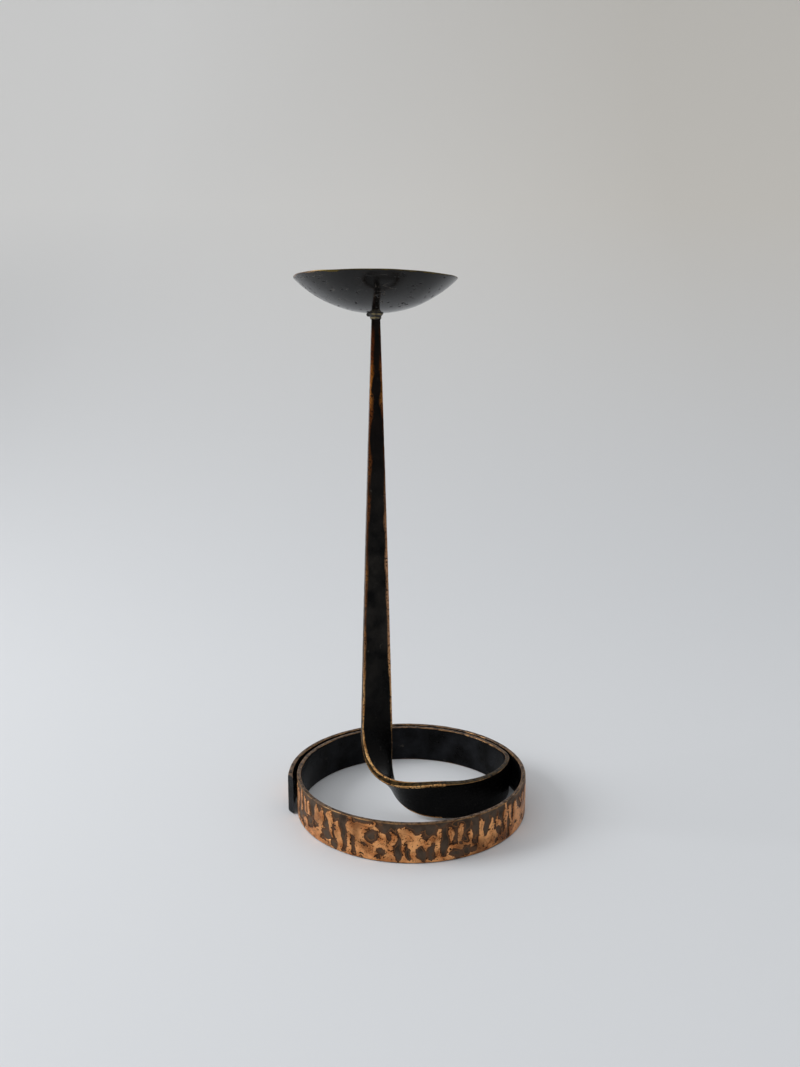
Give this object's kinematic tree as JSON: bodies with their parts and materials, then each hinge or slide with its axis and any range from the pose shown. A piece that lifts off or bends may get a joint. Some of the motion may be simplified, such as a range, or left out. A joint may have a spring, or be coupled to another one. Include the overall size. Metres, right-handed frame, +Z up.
{
  "type": "spiral candle holder",
  "caption": "Tall pricket candle holder: a flat bar wound on edge into a spiral foot curls up into a tapering stem that carries a shallow drip bowl.",
  "frame": {"origin": "middle of the foot's outline, on the table it stands on", "axes": "+Z up along the stem, +X to the right and +Y to the back of the front view, in which the stem stands left of the middle"},
  "size_m": [0.1236, 0.1214, 0.2698],
  "materials": {
    "patinated_copper_bar": "black patina with worn copper relief and edges",
    "blackened_bowl": "glossy black patina with a worn rim",
    "dark_spike": "dull dark steel",
    "braze": "dull brass"
  },
  "bodies": {
    "root": {"spiral_bar": "patinated_copper_bar", "drip_bowl": "blackened_bowl", "pricket": "dark_spike", "braze_bead": "braze"}
  },
  "joints": []
}
